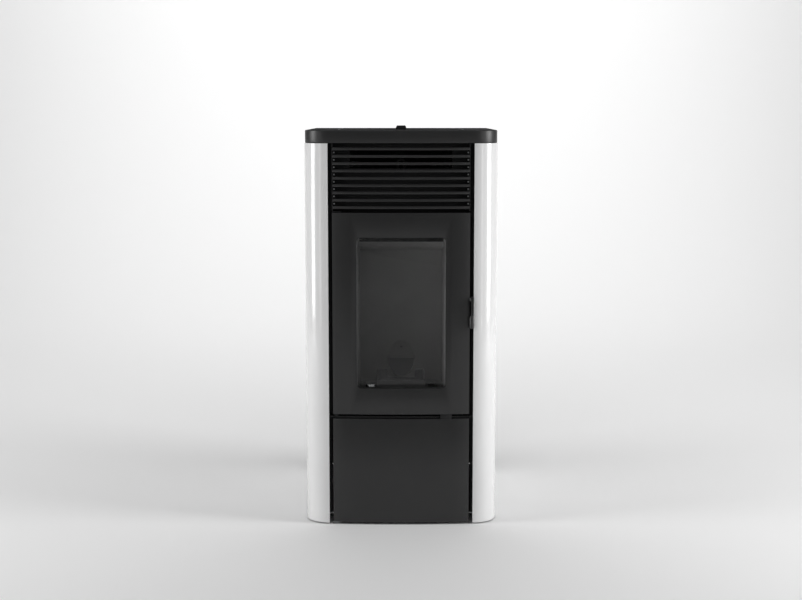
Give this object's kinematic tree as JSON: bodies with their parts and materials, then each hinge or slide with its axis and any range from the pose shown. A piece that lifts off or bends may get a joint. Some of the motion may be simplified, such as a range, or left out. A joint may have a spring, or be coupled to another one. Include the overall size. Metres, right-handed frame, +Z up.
{
  "type": "pellet stove",
  "caption": "Free-standing pellet stove: bowed black front with a glazed fire door under a slatted air grille, rounded white side panels, top slab with a hopper lid.",
  "frame": {"origin": "On the floor under the middle of the stove.", "axes": "+Z up, the front with the fire door faces -Y, +X to the right seen from the front."},
  "size_m": [0.46, 0.5, 0.955],
  "materials": {
    "white_enamel": "gloss white enamel on sheet steel",
    "black_paint": "satin anthracite heat-proof paint",
    "dark_steel": "matt black heat-proof paint",
    "cast_iron": "raw grey casting",
    "liner_iron": "smooth grey fireside lining",
    "zinc_sheet": "zinc-coated sheet",
    "bright_steel": "turned and pressed steel",
    "glass": "clear glass ceramic",
    "rope": "woven glass-fibre rope seal",
    "black_plastic": "moulded black plastic",
    "rubber": "black rubber",
    "circuit_board": "green laminate with black components"
  },
  "bodies": {
    "stove_body": {"air_inlet": "zinc_sheet", "ash_drawer": "zinc_sheet", "auger_motor": "bright_steel", "auger_tube": "zinc_sheet", "baffle": "liner_iron", "base_plate": "zinc_sheet", "blower_housing": "zinc_sheet", "blower_motor": "bright_steel", "control_board": "circuit_board", "door_hinge_upper": "dark_steel", "exchanger": "dark_steel", "feed_chute": "cast_iron", "firebox": "dark_steel", "flue_stub": "black_paint", "foot_front_left": "rubber", "foot_front_right": "rubber", "foot_rear_left": "rubber", "foot_rear_right": "rubber", "frame_crossbar": "dark_steel", "frame_post_left": "dark_steel", "frame_post_right": "dark_steel", "grille_slat_1": "black_paint", "grille_slat_2": "black_paint", "grille_slat_3": "black_paint", "grille_slat_4": "black_paint", "grille_slat_5": "black_paint", "grille_slat_6": "black_paint", "grille_slat_7": "black_paint", "grille_slat_8": "black_paint", "grille_slat_9": "black_paint", "hopper": "zinc_sheet", "igniter": "bright_steel", "liner_back": "liner_iron", "liner_left": "liner_iron", "liner_right": "liner_iron", "outlet_frame": "dark_steel", "pot_seat": "cast_iron", "power_inlet": "black_plastic", "rear_panel": "black_paint", "side_panel_left": "white_enamel", "side_panel_right": "white_enamel", "smoke_duct": "zinc_sheet", "smoke_fan_housing": "zinc_sheet", "smoke_fan_motor": "bright_steel", "top_slab": "black_paint"},
    "fire_door": {"fire_door_frame": "black_paint", "door_glass": "glass", "glass_retainer": "zinc_sheet", "door_gasket": "rope"},
    "door_latch": {"door_handle": "black_paint", "latch_shaft": "zinc_sheet"},
    "service_panel": {"service_door": "black_paint"},
    "lid": {"hopper_lid": "black_paint", "lid_handle": "black_plastic"},
    "pot": {"burn_pot": "cast_iron"},
    "tube_scraper": {"scraper": "bright_steel"},
    "auger": {"auger_screw": "bright_steel"},
    "smoke_wheel": {"smoke_fan_wheel": "bright_steel"},
    "room_wheel": {"blower_wheel": "bright_steel"},
    "power_rocker": {"rocker_switch": "black_plastic"}
  },
  "joints": [
    {"name": "fire_door_hinge", "type": "hinge", "parent": "stove_body", "child": "fire_door", "pos_m": [-0.155, -0.228, 0.5], "axis": [0, 0, -1], "range_deg": [0, 100]},
    {"name": "door_latch_lever", "type": "hinge", "parent": "fire_door", "child": "door_latch", "pos_m": [0.167, -0.226, 0.545], "axis": [-1, 0, 0], "range_deg": [0, 60]},
    {"name": "service_door_hinge", "type": "hinge", "parent": "stove_body", "child": "service_panel", "pos_m": [-0.155, -0.228, 0.13], "axis": [0, 0, -1], "range_deg": [0, 100]},
    {"name": "hopper_lid_hinge", "type": "hinge", "parent": "stove_body", "child": "lid", "pos_m": [0, 0.164, 0.939], "axis": [-1, 0, 0], "range_deg": [0, 80]},
    {"name": "burn_pot_lift", "type": "slide", "parent": "stove_body", "child": "pot", "axis": [0, 0, 1], "range_m": [0, 0.05]},
    {"name": "scraper_lift", "type": "slide", "parent": "stove_body", "child": "tube_scraper", "axis": [0, 0, 1], "range_m": [0, 0.025]},
    {"name": "auger_spin", "type": "hinge", "parent": "stove_body", "child": "auger", "pos_m": [0, 0.13, 0.52], "axis": [1, 0, 0], "continuous": true},
    {"name": "smoke_fan_spin", "type": "hinge", "parent": "stove_body", "child": "smoke_wheel", "pos_m": [0.095, 0.115, 0.15], "axis": [1, 0, 0], "continuous": true},
    {"name": "room_blower_spin", "type": "hinge", "parent": "stove_body", "child": "room_wheel", "pos_m": [-0.122, 0.095, 0.09036], "axis": [1, 0, 0], "continuous": true},
    {"name": "power_rocker_tilt", "type": "hinge", "parent": "stove_body", "child": "power_rocker", "pos_m": [0.178, 0.22, 0.144], "axis": [-1, 0, 0], "range_deg": [0, 16]}
  ]
}
